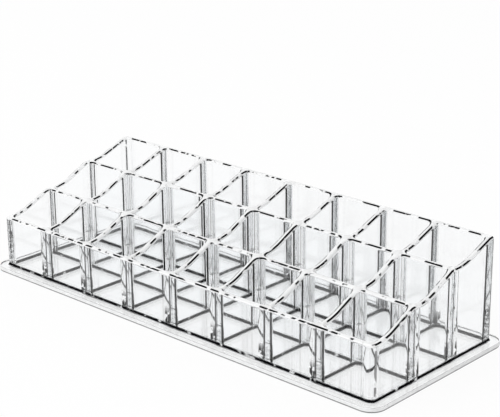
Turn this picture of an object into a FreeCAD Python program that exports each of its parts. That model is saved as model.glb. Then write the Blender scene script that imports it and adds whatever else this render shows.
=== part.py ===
"""Clear stepped vanity organizer: 8 columns by 3 rows of open square cells on a flanged base.

X runs along the length, the front looks towards -Y and +Z is up. The origin lies under the middle
of the base plate. All walls and dividers are shares of one rounded grid form, parted where the
panels are bonded, so that cell corners and rims run on smoothly from one panel to the next.
"""
import FreeCAD, Part
import math
import os
import Sketcher
from FreeCAD import Vector

ROW_COUNT = 3

# How constraints name a sketch's own origin, and the points of a line or arc
ORIGIN = (-1, 1)
START = 1
END = 2
CENTRE = 3

# A face is upright where its normal rises by less than TINY, and looks mostly up or down past the share
TINY = 1e-6
MOSTLY_SHARE = 0.5

# Driving dimensions in millimetres, and a few counts and shares, each with what it sets
SIZES = [
    ("column_count", 8, "cells along the length"),
    ("cell_width", 24.6, "clear width of a cell, along X"),
    ("cell_depth", 23.2, "clear depth of a cell, along Y"),
    ("wall_thickness", 2.8, "every wall and divider"),
    ("well_radius", 2.6, "upright inside corners of a cell"),
    ("corner_radius", 2.6, "upright outside corners of the walls"),
    ("front_wall_height", 23.0, "front wall, from its foot"),
    ("front_step_rise", 7.7, "front long divider above the front wall"),
    ("middle_step_rise", 7.9, "rear long divider above the front one"),
    ("back_step_rise", 6.6, "back wall above the rear long divider"),
    ("crest_radius", 4.0, "top edge of a cross divider, where it leaves the higher wall"),
    ("scoop_radius", 26.0, "top edge of a cross divider, where it reaches the lower wall"),
    ("scoop_limit_share", 0.95, "most of the radius that a step has room for"),
    ("rim_radius", 1.2, "rounding along all top edges"),
    ("rim_limit_share", 0.45, "most of the wall that one rim rounding may take"),
    ("floor_thickness", 2.0, "base plate under the cells and the flange"),
    ("land_height", 1.2, "ribs of the base plate that carry the walls"),
    ("foot_radius", 0.9, "inside rounding where a land meets the floor"),
    ("foot_limit_share", 0.9, "most of the land that the foot rounding may take"),
    ("flange_width", 4.5, "base plate proud of the walls"),
    ("flange_edge_radius", 0.3, "rounding of the flange's upper and lower edges"),
    ("flange_limit_share", 0.45, "most of the floor that one flange rounding may take"),
    ("seat_rise", 0.4, "low seat on a wall, where the flared end of a divider is bonded"),
    ("lap_share", 0.5, "part of a long divider's height below the halving joint"),
    ("bond_gap", 0.08, "bond line between two panels"),
    ("cut_overrun", 5.0, "how far cutting shapes run past what they cut"),
]

# Sizes that follow from the driving dimensions
LAYOUT = [
    ("column_pitch", "Sizes.cell_width + Sizes.wall_thickness"),
    ("row_pitch", "Sizes.cell_depth + Sizes.wall_thickness"),
    ("outer_width", "Sizes.column_count * column_pitch + Sizes.wall_thickness"),
    ("outer_depth", f"{ROW_COUNT} * row_pitch + Sizes.wall_thickness"),
    ("half_width", "outer_width / 2"),
    ("half_depth", "outer_depth / 2"),
    ("corner_reach", "max(Sizes.corner_radius; Sizes.well_radius + Sizes.wall_thickness)"),
    ("level_0", "Sizes.front_wall_height"),
    ("level_1", "level_0 + Sizes.front_step_rise"),
    ("level_2", "level_1 + Sizes.middle_step_rise"),
    ("level_3", "level_2 + Sizes.back_step_rise"),
    ("rim", "min(Sizes.rim_radius; Sizes.rim_limit_share * Sizes.wall_thickness)"),
    ("foot", "min(Sizes.foot_radius; Sizes.foot_limit_share * Sizes.land_height)"),
    ("flange_edge", "min(Sizes.flange_edge_radius; Sizes.flange_limit_share * Sizes.floor_thickness)"),
    ("grid_foot", "Sizes.floor_thickness + Sizes.land_height + Sizes.bond_gap"),
    ("seated_half", "Sizes.wall_thickness / 2 + Sizes.seat_rise"),
]

document = FreeCAD.newDocument("vanity_organizer")


def fill_sheet(name, rows):
    """A sheet with one named value a row."""
    sheet = document.addObject("Spreadsheet::Sheet", name)
    for row, (alias, text, *note) in enumerate(rows, start=1):
        sheet.set(f"A{row}", alias)
        sheet.set(f"B{row}", text)
        sheet.setAlias(f"B{row}", alias)
        sheet.set(f"C{row}", note[0] if note else "")
    document.recompute()
    return sheet


def step_rows():
    """Layout rows of the eased slope in each row of cells, from the front to the back."""
    rows = []
    for step, rise in enumerate(("front_step_rise", "middle_step_rise", "back_step_rise")):
        rise = f"Sizes.{rise}"
        both = "(Sizes.crest_radius + Sizes.scoop_radius)"
        chord = f"(Sizes.cell_depth^2 + {rise}^2)"
        room = f"Sizes.scoop_limit_share * {chord} / (2 * {rise} * {both})"
        rows.append((f"ease_{step}", f"min(1; {room})"))
        rows.append((f"crest_{step}", f"ease_{step} * Sizes.crest_radius"))
        rows.append((f"scoop_{step}", f"ease_{step} * Sizes.scoop_radius"))
        reach = f"(crest_{step} + scoop_{step})"
        rows.append((f"straight_{step}", f"sqrt({chord} - 2 * {rise} * {reach})"))
        turn = f"atan2(Sizes.cell_depth; {reach} - {rise}) - atan2(straight_{step}; {reach})"
        rows.append((f"slope_{step}", turn))
    return rows


sizes = fill_sheet("Sizes", [(alias, str(value), note) for alias, value, note in SIZES])
layout = fill_sheet("Layout", [(alias, f"={formula}") for alias, formula in LAYOUT + step_rows()])


def value(expression):
    """The number that an expression stands for."""
    result = layout.evalExpression(expression)
    return result.Value if hasattr(result, "Value") else float(result)


def row_line(line):
    """Middle plane of lengthwise wall number `line`, from 0 at the front."""
    return f"({line} - {ROW_COUNT} / 2) * Layout.row_pitch"


def column_line(line):
    """Middle plane of crosswise wall number `line`, from 0 at the left end."""
    return f"({line} - Sizes.column_count / 2) * Layout.column_pitch"


# Sketch helpers
def new_sketch(body, name, role, height="0"):
    """A sketch on one of the body's own planes, lifted off it by an expression."""
    sketch = body.newObject("Sketcher::SketchObject", name)
    plane = next(item for item in body.Origin.OriginFeatures if item.Role == role)
    sketch.AttachmentSupport = [(plane, "")]
    sketch.MapMode = "FlatFace"
    sketch.setExpression("AttachmentOffset.Base.z", height)
    return sketch


def bind(sketch, kind, places, expression):
    """A dimension of the sketch that takes its value from an expression."""
    index = sketch.addConstraint(Sketcher.Constraint(kind, *places, value(expression)))
    sketch.setExpression(f"Constraints[{index}]", expression)


def pin(sketch, item, point, across, upward):
    """Hold one point of a line or arc at two expressions from the sketch's origin."""
    bind(sketch, "DistanceX", (*ORIGIN, item, point), across)
    bind(sketch, "DistanceY", (*ORIGIN, item, point), upward)


def add_line(sketch, start, end):
    return sketch.addGeometry(Part.LineSegment(Vector(*start), Vector(*end)), False)


def add_arc(sketch, centre, radius, start_angle, end_angle):
    circle = Part.Circle(Vector(*centre), Vector(0, 0, 1), radius)
    return sketch.addGeometry(Part.ArcOfCircle(circle, start_angle, end_angle), False)


def join(sketch, kind, *places):
    sketch.addConstraint(Sketcher.Constraint(kind, *places))


def rounded_rectangle(sketch, centre, half_size, radius):
    """A rectangle with rounded corners, given as expressions."""
    across, upward = (value(item) for item in centre)
    wide, high = (value(f"{half} - {radius}") for half in half_size)
    turn = value(radius)
    quarter = math.pi / 2
    arcs = []
    for corner, (side_x, side_y) in enumerate(((1, 1), (-1, 1), (-1, -1), (1, -1))):
        middle = (across + side_x * wide, upward + side_y * high)
        arcs.append(add_arc(sketch, middle, turn, corner * quarter, (corner + 1) * quarter))
        place = [f"{c} + {s} * ({h} - {radius})" for c, s, h in zip(centre, (side_x, side_y), half_size)]
        pin(sketch, arcs[corner], CENTRE, *place)
        bind(sketch, "Radius", (arcs[corner],), radius)
    for corner, arc in enumerate(arcs):
        following = arcs[(corner + 1) % len(arcs)]
        start = sketch.getPoint(arc, END)
        end = sketch.getPoint(following, START)
        side = add_line(sketch, (start.x, start.y), (end.x, end.y))
        join(sketch, "Tangent", arc, END, side, START)
        join(sketch, "Tangent", side, END, following, START)


def stepped_profile(sketch):
    """Everything above the top edges, seen from the side: flat over each lengthwise wall, eased between."""
    overrun = "Sizes.cut_overrun"
    ahead = f"-(Layout.half_depth + {overrun})"
    behind = f"Layout.half_depth + {overrun}"
    above = f"Layout.level_{ROW_COUNT} + {overrun}"
    half_wall = "Sizes.wall_thickness / 2"
    flats = []
    for line in range(ROW_COUNT + 1):
        level = f"Layout.level_{line}"
        start = ahead if line == 0 else f"{row_line(line)} - {half_wall}"
        end = behind if line == ROW_COUNT else f"{row_line(line)} + {half_wall}"
        flat = add_line(sketch, (value(start), value(level)), (value(end), value(level)))
        pin(sketch, flat, START, start, level)
        pin(sketch, flat, END, end, level)
        flats.append(flat)
    for step in range(ROW_COUNT):
        scoop_radius = f"Layout.scoop_{step}"
        crest_radius = f"Layout.crest_{step}"
        turn = math.radians(value(f"Layout.slope_{step}"))
        low_end = sketch.getPoint(flats[step], END)
        high_end = sketch.getPoint(flats[step + 1], START)
        upright = math.pi / 2
        scoop_centre = (low_end.x, low_end.y + value(scoop_radius))
        scoop = add_arc(sketch, scoop_centre, value(scoop_radius), -upright, turn - upright)
        crest_centre = (high_end.x, high_end.y - value(crest_radius))
        crest = add_arc(sketch, crest_centre, value(crest_radius), upright, upright + turn)
        foot = sketch.getPoint(scoop, END)
        head = sketch.getPoint(crest, END)
        slope = add_line(sketch, (foot.x, foot.y), (head.x, head.y))
        join(sketch, "Tangent", flats[step], END, scoop, START)
        join(sketch, "Tangent", scoop, END, slope, START)
        join(sketch, "Tangent", slope, END, crest, END)
        join(sketch, "Tangent", crest, START, flats[step + 1], START)
        bind(sketch, "Radius", (scoop,), scoop_radius)
        bind(sketch, "Radius", (crest,), crest_radius)
    corners = [(value(behind), value(above)), (value(ahead), value(above))]
    last = sketch.getPoint(flats[-1], END)
    first = sketch.getPoint(flats[0], START)
    rise = add_line(sketch, (last.x, last.y), corners[0])
    roof = add_line(sketch, corners[0], corners[1])
    fall = add_line(sketch, corners[1], (first.x, first.y))
    join(sketch, "Coincident", flats[-1], END, rise, START)
    join(sketch, "Coincident", rise, END, roof, START)
    join(sketch, "Coincident", roof, END, fall, START)
    join(sketch, "Coincident", fall, END, flats[0], START)
    pin(sketch, roof, START, behind, above)
    pin(sketch, roof, END, ahead, above)


# Feature helpers
def pad(body, sketch, length):
    feature = body.newObject("PartDesign::Pad", f"{sketch.Name}_pad")
    feature.Profile = sketch
    feature.setExpression("Length", length)
    document.recompute()
    return feature


def pocket(body, sketch, depth=None):
    """A cut to a depth below the sketch, or right through on both sides of it."""
    before = body.Tip.Shape.Volume
    feature = body.newObject("PartDesign::Pocket", f"{sketch.Name}_pocket")
    feature.Profile = sketch
    if depth:
        feature.setExpression("Length", depth)
    else:
        feature.Type = "ThroughAll"
        feature.SideType = "Symmetric"
    document.recompute()
    assert feature.Shape.Volume < before, f"{feature.Name} cuts nothing"
    return feature


def repeat_over_cells(body, feature):
    """Repeat the front left cell's cut over all columns and rows."""
    axes = {item.Role: item for item in body.Origin.OriginFeatures}
    pattern = body.newObject("PartDesign::LinearPattern", f"{feature.Name}_pattern")
    pattern.Originals = [feature]
    pattern.Direction = (axes["X_Axis"], [""])
    pattern.setExpression("Length", "(Sizes.column_count - 1) * Layout.column_pitch")
    pattern.setExpression("Occurrences", "Sizes.column_count")
    pattern.Direction2 = (axes["Y_Axis"], [""])
    pattern.setExpression("Length2", f"({ROW_COUNT} - 1) * Layout.row_pitch")
    pattern.Occurrences2 = ROW_COUNT
    body.Tip = pattern
    document.recompute()
    return pattern


def faces_by_edge(shape):
    """For each edge of the shape, the faces that share it."""
    sharing = {}
    for face in shape.Faces:
        for edge in face.Edges:
            sharing.setdefault(edge.hashCode(), []).append(face)
    return sharing


def upward_parts(edge, faces):
    """How far each face looks up, from -1 to 1, at the middle of an edge, lowest first."""
    middle = edge.valueAt((edge.FirstParameter + edge.LastParameter) / 2)
    return sorted(face.normalAt(*face.Surface.parameter(middle)).z for face in faces)


def round_edges(body, name, radius, chosen):
    """Round the edges of the body's last feature that `chosen` picks by how their faces look up."""
    base = body.Tip
    sharing = faces_by_edge(base.Shape)
    names = []
    for number, edge in enumerate(base.Shape.Edges, start=1):
        if chosen(edge, upward_parts(edge, sharing[edge.hashCode()])):
            names.append(f"Edge{number}")
    feature = body.newObject("PartDesign::Fillet", name)
    feature.Base = (base, names)
    feature.setExpression("Radius", radius)
    document.recompute()
    return feature


def is_rim(edge, upward):
    """An edge between an upright face and a face that looks mostly up."""
    return abs(upward[0]) < TINY and upward[1] > MOSTLY_SHARE


def is_underside_rim(edge, upward):
    """An edge between an upright face and the underside."""
    return upward[0] < -MOSTLY_SHARE and abs(upward[1]) < TINY


def cell_outline(sketch):
    """The front left cell, from above."""
    centre = (column_line(0.5), row_line(0.5))
    rounded_rectangle(sketch, centre, ("Sizes.cell_width / 2", "Sizes.cell_depth / 2"), "Sizes.well_radius")


def wall_outline(sketch):
    """Outside of the walls, from above."""
    half_size = ("Layout.half_width", "Layout.half_depth")
    rounded_rectangle(sketch, ("0", "0"), half_size, "Sizes.corner_radius")


def grid_form():
    """The whole rounded grid of walls, on its foot, before it is parted into panels."""
    body = document.addObject("PartDesign::Body", "grid_form")
    body.setExpression("Placement.Base.z", "Layout.grid_foot")
    outline = new_sketch(body, "grid_outline", "XY_Plane")
    wall_outline(outline)
    pad(body, outline, f"Layout.level_{ROW_COUNT} + Sizes.cut_overrun / 2")
    steps = new_sketch(body, "grid_steps", "YZ_Plane")
    stepped_profile(steps)
    pocket(body, steps)
    cell = new_sketch(body, "grid_cell", "XY_Plane")
    cell_outline(cell)
    repeat_over_cells(body, pocket(body, cell))
    round_edges(body, "grid_rims", "Layout.rim", is_rim)
    return body


def base_plate():
    """Flanged plate with a grid of low lands for the walls and a rounded foot in every cell."""
    body = document.addObject("PartDesign::Body", "base_plate")
    plate = new_sketch(body, "plate_outline", "XY_Plane")
    half_size = [f"Layout.half_{side} + Sizes.flange_width" for side in ("width", "depth")]
    rounded_rectangle(plate, ("0", "0"), half_size, "(Sizes.corner_radius + Sizes.flange_width)")
    pad(body, plate, "Sizes.floor_thickness")
    lands = new_sketch(body, "land_outline", "XY_Plane", "Sizes.floor_thickness")
    wall_outline(lands)
    pad(body, lands, "Sizes.land_height")
    cell = new_sketch(body, "floor_cell", "XY_Plane", "Sizes.floor_thickness + Sizes.land_height")
    cell_outline(cell)
    repeat_over_cells(body, pocket(body, cell, "Sizes.land_height"))
    floor = value("Sizes.floor_thickness")
    reach = value("Layout.half_width"), value("Layout.half_depth")

    def under_walls(edge):
        middle = edge.CenterOfMass
        return abs(middle.x) < reach[0] + TINY and abs(middle.y) < reach[1] + TINY

    def is_foot(edge, upward):
        at_floor = abs(edge.CenterOfMass.z - floor) < TINY
        return is_rim(edge, upward) and at_floor and under_walls(edge)

    def is_flange_edge(edge, upward):
        return not under_walls(edge) and (is_rim(edge, upward) or is_underside_rim(edge, upward))

    round_edges(body, "foot_rounding", "Layout.foot", is_foot)
    round_edges(body, "flange_rounding", "Layout.flange_edge", is_flange_edge)
    return body


# Panels, each the share of the grid form inside its own region
GRID_LOW = "Layout.grid_foot - Sizes.cut_overrun"
GRID_HIGH = f"Layout.grid_foot + Layout.level_{ROW_COUNT} + Sizes.cut_overrun"


def add_box(name, x_range, y_range, z_range=(GRID_LOW, GRID_HIGH)):
    """A box between pairs of expressions."""
    box = document.addObject("Part::Box", name)
    for size, axis, (low, high) in zip(("Length", "Width", "Height"), "xyz", (x_range, y_range, z_range)):
        box.setExpression(size, f"({high}) - ({low})")
        box.setExpression(f"Placement.Base.{axis}", low)
    return box


def add_fuse(name, shapes):
    fuse = document.addObject("Part::MultiFuse", name)
    fuse.Shapes = shapes
    return fuse


def add_panel(name, grid, region):
    """The part of the grid form inside a region."""
    panel = document.addObject("Part::Common", name)
    panel.Base = grid
    panel.Tool = region
    return panel


def span(middle, half):
    return f"{middle} - ({half})", f"{middle} + ({half})"


def lengthwise_wall(name, grid, side):
    """Front wall where side is -1, back wall where it is 1, between the rounded corners."""
    inner = "Layout.half_depth - Sizes.wall_thickness - Sizes.seat_rise"
    outer = "Layout.half_depth + Sizes.cut_overrun"
    y_range = (f"-({outer})", f"-({inner})") if side < 0 else (inner, outer)
    x_range = span("0", "Layout.half_width - Layout.corner_reach - Sizes.bond_gap")
    return add_panel(name, grid, add_box(f"{name}_region", x_range, y_range))


def right_end_wall(name, grid):
    """End wall with the two upright corners that turn into the front and the back."""
    outer = "Layout.half_width + Sizes.cut_overrun"
    beyond = "Layout.half_depth + Sizes.cut_overrun"
    turn = "Layout.half_depth - Layout.corner_reach"
    side = add_box(
        f"{name}_side",
        ("Layout.half_width - Sizes.wall_thickness - Sizes.seat_rise", outer),
        span("0", beyond),
    )
    corner_x = ("Layout.half_width - Layout.corner_reach", outer)
    front_corner = add_box(f"{name}_front_corner", corner_x, (f"-({beyond})", f"-({turn})"))
    back_corner = add_box(f"{name}_back_corner", corner_x, (turn, beyond))
    region = add_fuse(f"{name}_region", [side, front_corner, back_corner])
    return add_panel(name, grid, region)


def left_end_wall(name, right_wall):
    """Mirror image of the right end wall."""
    wall = document.addObject("Part::Mirroring", name)
    wall.Source = right_wall
    wall.Normal = Vector(1, 0, 0)
    return wall


def lap_height(line):
    """Height of the halving joint in long divider number `line`."""
    return f"Layout.grid_foot + Sizes.lap_share * Layout.level_{line}"


def long_divider(name, grid, line):
    """Lengthwise divider, slotted from above for every cross divider."""
    length = "Layout.half_width - Sizes.wall_thickness - Sizes.seat_rise - Sizes.bond_gap"
    blank = add_box(f"{name}_blank", span("0", length), span(row_line(line), "Layout.seated_half"))
    slots = []
    for column in range(1, int(value("Sizes.column_count"))):
        slots.append(add_box(
            f"{name}_slot_{column}",
            span(column_line(column), "Sizes.wall_thickness / 2 + Sizes.bond_gap"),
            span(row_line(line), "Layout.row_pitch / 2"),
            (lap_height(line), f"{GRID_HIGH} + Sizes.cut_overrun"),
        ))
    region = document.addObject("Part::Cut", f"{name}_region")
    region.Base = blank
    region.Tool = add_fuse(f"{name}_slots", slots)
    return add_panel(name, grid, region)


def cross_divider(name, grid, column):
    """Crosswise divider: three flared bays, joined by necks that drop into the long dividers' slots."""
    middle = column_line(column)
    flared = span(middle, "Sizes.wall_thickness / 2 + Sizes.well_radius")
    pieces = []
    for row in range(ROW_COUNT):
        bay = (
            f"{row_line(row)} + Layout.seated_half + Sizes.bond_gap",
            f"{row_line(row + 1)} - Layout.seated_half - Sizes.bond_gap",
        )
        pieces.append(add_box(f"{name}_bay_{row}", flared, bay))
    for line in range(1, ROW_COUNT):
        pieces.append(add_box(
            f"{name}_neck_{line}",
            span(middle, "Sizes.wall_thickness / 2"),
            span(row_line(line), "Layout.row_pitch / 2"),
            (f"{lap_height(line)} + Sizes.bond_gap", GRID_HIGH),
        ))
    return add_panel(name, grid, add_fuse(f"{name}_region", pieces))


def copied_panel(name, panel, shift):
    """The same panel again, further along X."""
    copy = document.addObject("App::Link", name)
    copy.LinkedObject = panel
    copy.setExpression("Placement.Base.x", shift)
    return copy


def make_panels():
    grid = grid_form()
    right_wall = right_end_wall("right_end_wall", grid)
    panels = [
        base_plate(),
        lengthwise_wall("front_wall", grid, -1),
        lengthwise_wall("back_wall", grid, 1),
        left_end_wall("left_end_wall", right_wall),
        right_wall,
        long_divider("long_divider_front", grid, 1),
        long_divider("long_divider_rear", grid, 2),
    ]
    first_divider = cross_divider("cross_divider_1", grid, 1)
    panels.append(first_divider)
    for column in range(2, int(value("Sizes.column_count"))):
        shift = f"({column} - 1) * Layout.column_pitch"
        panels.append(copied_panel(f"cross_divider_{column}", first_divider, shift))
    document.recompute()
    return panels


def write_parts(panels):
    """Check every object of the document, then write one file a panel."""
    for item in document.Objects:
        faults = [state for state in item.State if state in ("Invalid", "Error")]
        assert not faults, f"{item.Label} is {faults}"
    shapes = {panel.Label: Part.getShape(panel) for panel in panels}
    for label, shape in shapes.items():
        assert not shape.isNull() and shape.isValid(), f"{label} has no sound shape"
        assert len(shape.Solids) == 1, f"{label} has {len(shape.Solids)} solids"
    os.makedirs("parts", exist_ok=True)
    for label, shape in shapes.items():
        shape.exportStep(f"parts/{label}.step")
        print(f"{label}: {shape.Volume:.1f} cubic millimetres")


write_parts(make_panels())
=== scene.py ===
"""Clear stepped organizer, 8 by 3 cells, dressed in moulded clear plastic on a white studio floor."""

import math

import bpy
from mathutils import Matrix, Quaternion, Vector


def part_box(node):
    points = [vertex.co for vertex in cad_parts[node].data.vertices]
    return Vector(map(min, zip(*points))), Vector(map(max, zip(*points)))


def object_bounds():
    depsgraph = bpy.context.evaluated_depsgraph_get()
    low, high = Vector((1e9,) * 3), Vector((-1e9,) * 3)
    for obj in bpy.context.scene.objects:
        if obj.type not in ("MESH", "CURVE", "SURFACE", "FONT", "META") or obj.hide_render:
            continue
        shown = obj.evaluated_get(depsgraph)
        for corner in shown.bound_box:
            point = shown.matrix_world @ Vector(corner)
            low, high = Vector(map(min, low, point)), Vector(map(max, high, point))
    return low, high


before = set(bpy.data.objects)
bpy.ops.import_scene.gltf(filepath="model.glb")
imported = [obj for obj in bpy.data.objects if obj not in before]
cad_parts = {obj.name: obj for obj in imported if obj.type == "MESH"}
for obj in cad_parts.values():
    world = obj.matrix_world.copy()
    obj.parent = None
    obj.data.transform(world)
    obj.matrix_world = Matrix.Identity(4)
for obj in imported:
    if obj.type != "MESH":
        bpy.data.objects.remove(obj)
cad_low, cad_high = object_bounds()

# Sizes read from the frame, in metres
CENTRE = (cad_low + cad_high) / 2
LENGTH = cad_high.x - cad_low.x
LAND_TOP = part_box("base_plate")[1].z
WALLS_REACH = (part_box("right_end_wall")[1].x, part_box("back_wall")[1].y)
CELL_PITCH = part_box("cross_divider_2")[1].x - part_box("cross_divider_1")[1].x

# Walls, and the lands and rounded feet of the base plate
WALL = 0.0028
LAND_HEIGHT = 0.0012
FOOT_RADIUS = 0.0009
FLOOR_TOP = LAND_TOP - LAND_HEIGHT

# The gap left for the bond between two panels, and how far each panel's skin grows to close it
BOND_GAP = 0.00008
SKIN = 0.7 * BOND_GAP

# Panels that run along the length; the rest, but for the base plate, run across it
LENGTHWISE = ("front_wall", "back_wall", "long_divider_front", "long_divider_rear")

# Clear styrene or acrylic
PLASTIC_IOR = 1.49
PLAIN_GLOSS = 0.5
HAZE_ROUGHNESS = 0.03
WAVE_DEPTH = 0.0004
WAVE_STRENGTH = 0.12
TINT_DEEP = (0.978, 0.986, 0.990, 1.0)
TINT_PALE = (0.994, 0.996, 0.999, 1.0)
# Painted shade: a near-black colour, neither clear nor glossy, for the dark lines that refraction and
# inner mirroring give at feet, posts, corners, rims and the flange's edge; the flange and corner line
# shares set how dark those lines are painted
PAINTED_SHADE_COLOUR = (0.004, 0.004, 0.005, 1.0)
RIM_PALE_SHARE = 0.8
FLANGE_PALE_SHARE = 0.8
FLANGE_SHADE_SHARE = 0.8
CORNER_SHADE_SHARE = 0.75

# Noise scales, as features per metre, its detail, and the stretch that draws streaks out along Z
WAVES = 55.0
HAZE = 140.0
RIM_DASHES = 230.0
FOOT_BREAKS = 260.0
STREAKS = 420.0
BLOTS = 500.0
PLAIN_DETAIL = 2.0
HAZE_DETAIL = 5.0
UNSTRETCHED = (1.0, 1.0, 1.0)
DRAWN_OUT = (1.0, 1.0, 0.1)

# Masks by the level of noise: a pair here and below is where a mask starts and where it is full
HAZE_LEVELS = (0.45, 0.8)
RIM_DASH_LEVELS = (0.47, 0.52)
FOOT_BREAK_LEVELS = (0.28, 0.38)
CORNER_BREAK_LEVELS = (0.36, 0.46)
STREAK_LEVELS = (0.22, 0.30)
BLOT_LEVELS = (0.41, 0.46)

# Masks by how far a face looks up or down, from 0 to 1
UPRIGHT = (0.35, 0.2)
FOOT_SLOPE = (0.97, 0.85)
FLANGE_LINE_SLOPE = (0.98, 0.9)
FLANGE_SIDE_SLOPE = (0.97, 0.8)
RIM_SLOPE = (0.1, 0.5)
CREST_SLOPE = (0.3, 0.5)

# Masks by how far a face looks along X or Y, or by both multiplied: three are a band and its soft margin
POST_SIDE = (0.07, 0.72, 0.05)
CORNER_SIDE = (0.1, 0.45, 0.05)
CREST_SIDE = (0.3, 0.8, 0.05)
ROUND_CORNER = (0.04, 0.16)

# Mask by the share of light that the plastic mirrors
MIRRORED = (0.15, 0.6)

# Masks by the inset from the outer faces of the walls, in wall thicknesses
INSIDE_OUTER_FACE = (0.3, 0.7)
BESIDE_OUTER_WALL = (2.4, 2.0)
AT_OUTER_CORNER = (1.0, 0.9)

# Masks by height, in metres
WALLS_START = (LAND_TOP + FOOT_RADIUS, LAND_TOP + 2 * FOOT_RADIUS)
BLOTS_END = (LAND_TOP + 9 * FOOT_RADIUS, LAND_TOP + 3 * FOOT_RADIUS)
FOOT_BAND = (FLOOR_TOP + 0.3 * FOOT_RADIUS, FLOOR_TOP + 1.55 * FOOT_RADIUS, 0.15 * FOOT_RADIUS)
FLANGE_LINE_END = (0.0007, 0.00042)
FLANGE_SIDE_END = (FLOOR_TOP + 0.00014, FLOOR_TOP)

# Studio, in metres and watts
WHITE = (1.0, 1.0, 1.0, 1.0)
FLOOR_COLOUR = (0.93, 0.93, 0.93, 1.0)
EVEN_FLOOR_SHARE = 0.92
STUDIO_FLOOR_HALF = 12 * LENGTH
STUDIO_FLOOR_HEIGHT = cad_low.z - 2 * BOND_GAP
WORLD_LIGHT = 0.8
KEY_POWER = 6.0
KEY_SIZE = (1.2, 0.9)
KEY_PLACE = Vector((-2.0, -3.0, 4.5)) * LENGTH

# Light crosses many clear walls before it reaches the eye
CLEAR_BOUNCES = 40
GLOSS_BOUNCES = 24

# The photograph's camera, fitted to the corners of the cells: focus in pixels, sensor in millimetres
PHOTO_WIDTH = 500
FOCUS = 1471.138
AZIMUTH = math.radians(42.883)
ELEVATION = math.radians(19.192)
ROLL = math.radians(-0.443)
FIT_BASE = Vector((0.0, 0.0, 0.0024))
TARGET = Vector((-0.892, 1.378, 1.0)) * CELL_PITCH + FIT_BASE
DISTANCE = 25.37 * CELL_PITCH
SENSOR = 36.0
NEAR_CLIP = 0.01


# Node helpers
def new_material(name):
    """An empty node material and its tree."""
    material = bpy.data.materials.new(name)
    material.use_nodes = True
    material.node_tree.nodes.clear()
    return material, material.node_tree


def node(tree, kind, **settings):
    """A new node with its plain settings filled in."""
    made = tree.nodes.new(kind)
    for name, value in settings.items():
        setattr(made, name, value)
    return made


def fill(tree, socket, value):
    """Link a socket to another node's output, or give it a plain value."""
    if isinstance(value, bpy.types.NodeSocket):
        tree.links.new(value, socket)
    else:
        socket.default_value = value


def combine(tree, operation, first, *others):
    """A sum, product or other function of one value, or of several taken in turn."""
    result = first
    for other in others or (0.0,):
        made = node(tree, "ShaderNodeMath", operation=operation)
        fill(tree, made.inputs[0], result)
        fill(tree, made.inputs[1], other)
        result = made.outputs["Value"]
    return result


def product(tree, *values):
    """All of the values multiplied."""
    return combine(tree, "MULTIPLY", *values)


def largest(tree, *values):
    """The largest of the values."""
    return combine(tree, "MAXIMUM", *values)


def less(tree, first, second):
    """The first value less the second."""
    return combine(tree, "SUBTRACT", first, second)


def size_of(tree, value):
    """The value without its sign."""
    return combine(tree, "ABSOLUTE", value)


def rise(tree, value, start, end):
    """A smooth step from 0 where the value is `start` to 1 where it is `end`."""
    made = node(tree, "ShaderNodeMapRange", interpolation_type="SMOOTHSTEP")
    fill(tree, made.inputs["Value"], value)
    made.inputs["From Min"].default_value = start
    made.inputs["From Max"].default_value = end
    return made.outputs["Result"]


def band(tree, value, low, high, soft):
    """1 between two values, and 0 beyond a soft margin on either side."""
    return product(tree, rise(tree, value, low - soft, low), rise(tree, value, high + soft, high))


def noise(tree, place, scale, detail=PLAIN_DETAIL, stretch=UNSTRETCHED):
    """Smooth noise over the object, stretched along its axes."""
    stretched = node(tree, "ShaderNodeVectorMath", operation="MULTIPLY")
    fill(tree, stretched.inputs[0], place)
    stretched.inputs[1].default_value = stretch
    made = node(tree, "ShaderNodeTexNoise")
    fill(tree, made.inputs["Vector"], stretched.outputs["Vector"])
    made.inputs["Scale"].default_value = scale
    made.inputs["Detail"].default_value = detail
    return made.outputs["Fac"]


def parts_of(tree, vector):
    """The three parts of a vector."""
    made = node(tree, "ShaderNodeSeparateXYZ")
    fill(tree, made.inputs["Vector"], vector)
    return [made.outputs[axis] for axis in "XYZ"]


# Clear plastic
class Surface:
    """What the plastic's nodes know of a spot: where it is, and which way it faces."""

    def __init__(self, tree):
        self.tree = tree
        self.place = node(tree, "ShaderNodeTexCoord").outputs["Object"]
        x, y, self.height = parts_of(tree, self.place)
        geometry = node(tree, "ShaderNodeNewGeometry")
        self.facing_x, self.facing_y, self.facing_z = [
            size_of(tree, part) for part in parts_of(tree, geometry.outputs["Normal"])]
        # 1 where the plastic is seen from the air, and 0 from within
        self.outside = less(tree, 1.0, geometry.outputs["Backfacing"])
        # How far in from the outer faces of the walls the spot is, in wall thicknesses
        self.insets = [
            combine(tree, "DIVIDE", less(tree, reach, size_of(tree, part)), WALL)
            for part, reach in zip((x, y), WALLS_REACH)]
        # 1 on the walls, and 0 on the base plate
        self.on_walls = rise(tree, self.height, *WALLS_START)
        self.upright = rise(tree, self.facing_z, *UPRIGHT)


def painted_foot_shade(surface):
    """Painted shade: the rounded foot of every land, seen from outside, is painted nearly black with
    small breaks, where the foot would turn sight aside.
    """
    tree = surface.tree
    line = band(tree, surface.height, *FOOT_BAND)
    sloping = rise(tree, surface.facing_z, *FOOT_SLOPE)
    breaks = rise(tree, noise(tree, surface.place, FOOT_BREAKS), *FOOT_BREAK_LEVELS)
    return product(tree, line, sloping, breaks, surface.outside)


def at_outer_posts(surface):
    """1 at the posts along the inner side of the outer walls, and 0 in the four outer corners."""
    tree = surface.tree
    within = product(tree, *[rise(tree, inset, *INSIDE_OUTER_FACE) for inset in surface.insets])
    beside_x, beside_y = [rise(tree, inset, *BESIDE_OUTER_WALL) for inset in surface.insets]
    return product(tree, within, size_of(tree, less(tree, beside_x, beside_y)))


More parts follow.
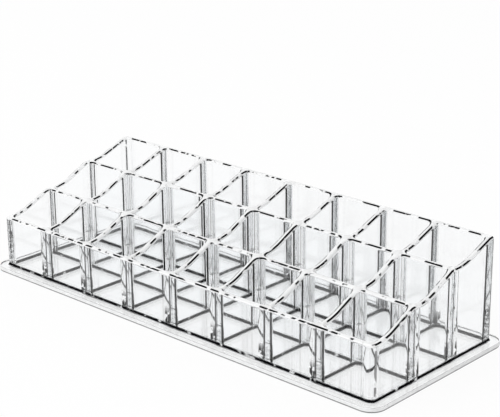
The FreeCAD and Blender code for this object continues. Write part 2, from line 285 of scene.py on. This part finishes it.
def painted_post_shade(surface):
    """Painted shade on upright cell corners where they mirror sight, and painted dark blots at the feet
    of outer posts.
    """
    tree = surface.tree
    fresnel = node(tree, "ShaderNodeFresnel")
    fresnel.inputs["IOR"].default_value = PLASTIC_IOR
    mirrored = rise(tree, fresnel.outputs["Fac"], *MIRRORED)
    side = product(tree, band(tree, surface.facing_y, *POST_SIDE), surface.upright)
    round_corner = rise(tree, product(tree, surface.facing_x, surface.facing_y), *ROUND_CORNER)
    outer_post = product(tree, round_corner, at_outer_posts(surface))
    streaks = rise(tree, noise(tree, surface.place, STREAKS, stretch=DRAWN_OUT), *STREAK_LEVELS)
    painted_shade = product(tree, largest(tree, side, outer_post), mirrored, streaks)

    near_foot = rise(tree, surface.height, *BLOTS_END)
    blots = rise(tree, noise(tree, surface.place, BLOTS), *BLOT_LEVELS)
    return largest(tree, painted_shade, product(tree, outer_post, near_foot, blots))


def painted_corner_shade(surface):
    """Painted shade: a grey upright line with small breaks, on the end face's side of every outer
    corner.
    """
    tree = surface.tree
    at_corner = product(tree, *[rise(tree, inset, *AT_OUTER_CORNER) for inset in surface.insets])
    side = band(tree, surface.facing_y, *CORNER_SIDE)
    breaks = rise(tree, noise(tree, surface.place, FOOT_BREAKS), *CORNER_BREAK_LEVELS)
    line = product(tree, at_corner, side, surface.upright, surface.on_walls)
    return product(tree, line, breaks, CORNER_SHADE_SHARE)


def painted_rim_shade(surface, facing_across):
    """Broken lines of painted shade on both sides of the crest of every rim."""
    tree = surface.tree
    beside_crest = band(tree, facing_across, *CREST_SIDE)
    near_top = rise(tree, surface.facing_z, *CREST_SLOPE)
    dashes = rise(tree, noise(tree, surface.place, RIM_DASHES), *RIM_DASH_LEVELS)
    return product(tree, beside_crest, near_top, dashes, surface.on_walls)


def painted_flange_shade(surface):
    """A thin grey line of painted shade along the flange's lower edge."""
    tree = surface.tree
    low_edge = rise(tree, surface.height, *FLANGE_LINE_END)
    sloping = rise(tree, surface.facing_z, *FLANGE_LINE_SLOPE)
    return product(tree, low_edge, sloping, FLANGE_SHADE_SHARE)


def pale_edges(surface):
    """Rims and the flange's side scatter light and look white."""
    tree = surface.tree
    rim = product(tree, rise(tree, surface.facing_z, *RIM_SLOPE), surface.on_walls, RIM_PALE_SHARE)
    low = rise(tree, surface.height, *FLANGE_SIDE_END)
    sloping = rise(tree, surface.facing_z, *FLANGE_SIDE_SLOPE)
    return largest(tree, rim, product(tree, low, sloping, FLANGE_PALE_SHARE))


def mould_waves(surface):
    """Normals that follow the slow waviness left by the mould."""
    tree = surface.tree
    bump = node(tree, "ShaderNodeBump")
    bump.inputs["Strength"].default_value = WAVE_STRENGTH
    bump.inputs["Distance"].default_value = WAVE_DEPTH
    fill(tree, bump.inputs["Height"], noise(tree, surface.place, WAVES))
    return bump.outputs["Normal"]


def hazy_roughness(tree, haze):
    """Smooth, but for faint patches of haze."""
    rough = node(tree, "ShaderNodeMapRange")
    start, end = HAZE_LEVELS
    fill(tree, rough.inputs["Value"], haze)
    rough.inputs["From Min"].default_value = start
    rough.inputs["From Max"].default_value = end
    rough.inputs["To Max"].default_value = HAZE_ROUGHNESS
    return rough.outputs["Result"]


def tint_under_painted_shade(tree, haze, painted_shade):
    """A cool tint that varies with the haze, under the near-black painted shade."""
    tint = node(tree, "ShaderNodeValToRGB")
    tint.color_ramp.elements[0].color = TINT_DEEP
    tint.color_ramp.elements[1].color = TINT_PALE
    fill(tree, tint.inputs["Fac"], haze)
    colour = node(tree, "ShaderNodeMixRGB")
    fill(tree, colour.inputs["Fac"], painted_shade)
    fill(tree, colour.inputs["Color1"], tint.outputs["Color"])
    colour.inputs["Color2"].default_value = PAINTED_SHADE_COLOUR
    return colour.outputs["Color"]


def clear_plastic(name, lengthwise):
    """Moulded clear plastic, with painted shade as black lines without gloss, and pale edges."""
    material, tree = new_material(name)
    surface = Surface(tree)
    facing_across = surface.facing_y if lengthwise else surface.facing_x
    # Every dark line here is painted shade: where it lies the plastic is neither clear nor glossy, but
    # nearly black
    painted_shade = largest(tree, painted_foot_shade(surface), painted_post_shade(surface), painted_corner_shade(surface),
                    painted_rim_shade(surface, facing_across), painted_flange_shade(surface))
    unpainted = less(tree, 1.0, painted_shade)
    clear = product(tree, unpainted, less(tree, 1.0, pale_edges(surface)))
    haze = noise(tree, surface.place, HAZE, detail=HAZE_DETAIL)

    skin = node(tree, "ShaderNodeBsdfPrincipled")
    skin.inputs["IOR"].default_value = PLASTIC_IOR
    fill(tree, skin.inputs["Base Color"], tint_under_painted_shade(tree, haze, painted_shade))
    fill(tree, skin.inputs["Roughness"], hazy_roughness(tree, haze))
    fill(tree, skin.inputs["Transmission Weight"], clear)
    fill(tree, skin.inputs["Specular IOR Level"], product(tree, unpainted, PLAIN_GLOSS))
    fill(tree, skin.inputs["Normal"], mould_waves(surface))
    out = node(tree, "ShaderNodeOutputMaterial")
    fill(tree, out.inputs["Surface"], skin.outputs["BSDF"])
    return material


def dress_panels():
    """Every panel takes its clear plastic, and grows by a skin that closes the bond gaps."""
    lengthwise = clear_plastic("clear_plastic_lengthwise", True)
    crosswise = clear_plastic("clear_plastic_crosswise", False)
    for name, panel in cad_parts.items():
        for slot in panel.material_slots:
            slot.material = lengthwise if name in LENGTHWISE else crosswise
        grow = panel.modifiers.new("skin", "DISPLACE")
        grow.direction = "CUSTOM_NORMAL"
        grow.mid_level = 0.0
        grow.strength = SKIN


# Studio
def seen_rays(tree):
    """A value of 1 for the rays that show a surface to the eye, straight or through gloss and glass."""
    path = node(tree, "ShaderNodeLightPath")
    return largest(tree, path.outputs["Is Camera Ray"], path.outputs["Is Glossy Ray"],
                   path.outputs["Is Transmission Ray"])


def floor_material():
    """White floor: mostly an even white to the eye, with a share that takes light and shadow."""
    material, tree = new_material("white_floor")
    matt = node(tree, "ShaderNodeBsdfDiffuse")
    matt.inputs["Color"].default_value = FLOOR_COLOUR
    even = node(tree, "ShaderNodeEmission")
    mix = node(tree, "ShaderNodeMixShader")
    fill(tree, mix.inputs["Fac"], product(tree, seen_rays(tree), EVEN_FLOOR_SHARE))
    fill(tree, mix.inputs[1], matt.outputs["BSDF"])
    fill(tree, mix.inputs[2], even.outputs["Emission"])
    out = node(tree, "ShaderNodeOutputMaterial")
    fill(tree, out.inputs["Surface"], mix.outputs["Shader"])
    return material


def make_floor():
    """A wide plain floor a hair below the underside."""
    half = STUDIO_FLOOR_HALF
    sides = ((-half, -half), (half, -half), (half, half), (-half, half))
    mesh = bpy.data.meshes.new("floor")
    mesh.from_pydata([(x, y, STUDIO_FLOOR_HEIGHT) for x, y in sides], [], [(0, 1, 2, 3)])
    mesh.materials.append(floor_material())
    floor = bpy.data.objects.new("floor", mesh)
    bpy.context.scene.collection.objects.link(floor)


def make_world():
    """A white studio to the eye and through the plastic, and a softer light on the object."""
    world = bpy.data.worlds.new("studio")
    world.use_nodes = True
    bpy.context.scene.world = world
    tree = world.node_tree
    tree.nodes.clear()
    shown = node(tree, "ShaderNodeBackground")
    shown.inputs["Color"].default_value = WHITE
    lighting = node(tree, "ShaderNodeBackground")
    lighting.inputs["Color"].default_value = WHITE
    lighting.inputs["Strength"].default_value = WORLD_LIGHT
    mix = node(tree, "ShaderNodeMixShader")
    fill(tree, mix.inputs["Fac"], seen_rays(tree))
    fill(tree, mix.inputs[1], lighting.outputs["Background"])
    fill(tree, mix.inputs[2], shown.outputs["Background"])
    out = node(tree, "ShaderNodeOutputWorld")
    fill(tree, out.inputs["Surface"], mix.outputs["Shader"])


def make_key_softbox():
    """A soft lamp that looks at the object's middle, and isn't mirrored in the plastic."""
    lamp = bpy.data.lights.new("key_softbox", "AREA")
    lamp.shape = "RECTANGLE"
    lamp.size, lamp.size_y = KEY_SIZE
    lamp.energy = KEY_POWER
    holder = bpy.data.objects.new("key_softbox", lamp)
    bpy.context.scene.collection.objects.link(holder)
    holder.visible_glossy = False
    holder.visible_transmission = False
    holder.location = KEY_PLACE
    holder.rotation_mode = "QUATERNION"
    holder.rotation_quaternion = (CENTRE - KEY_PLACE).to_track_quat("-Z", "Y")


def make_camera():
    """The photograph's view."""
    back = Vector((math.sin(AZIMUTH) * math.cos(ELEVATION),
                   -math.cos(AZIMUTH) * math.cos(ELEVATION),
                   math.sin(ELEVATION)))
    data = bpy.data.cameras.new("camera")
    data.sensor_width = SENSOR
    data.lens = FOCUS * SENSOR / PHOTO_WIDTH
    data.clip_start = NEAR_CLIP
    camera = bpy.data.objects.new("camera", data)
    bpy.context.scene.collection.objects.link(camera)
    camera.location = TARGET + back * DISTANCE
    camera.rotation_mode = "QUATERNION"
    camera.rotation_quaternion = (-back).to_track_quat("-Z", "Y") @ Quaternion((0, 0, 1), ROLL)
    bpy.context.scene.camera = camera


scene = bpy.context.scene
scene.view_settings.view_transform = "Standard"
scene.cycles.max_bounces = CLEAR_BOUNCES
scene.cycles.transmission_bounces = CLEAR_BOUNCES
scene.cycles.glossy_bounces = GLOSS_BOUNCES

dress_panels()
make_floor()
make_world()
make_key_softbox()
make_camera()
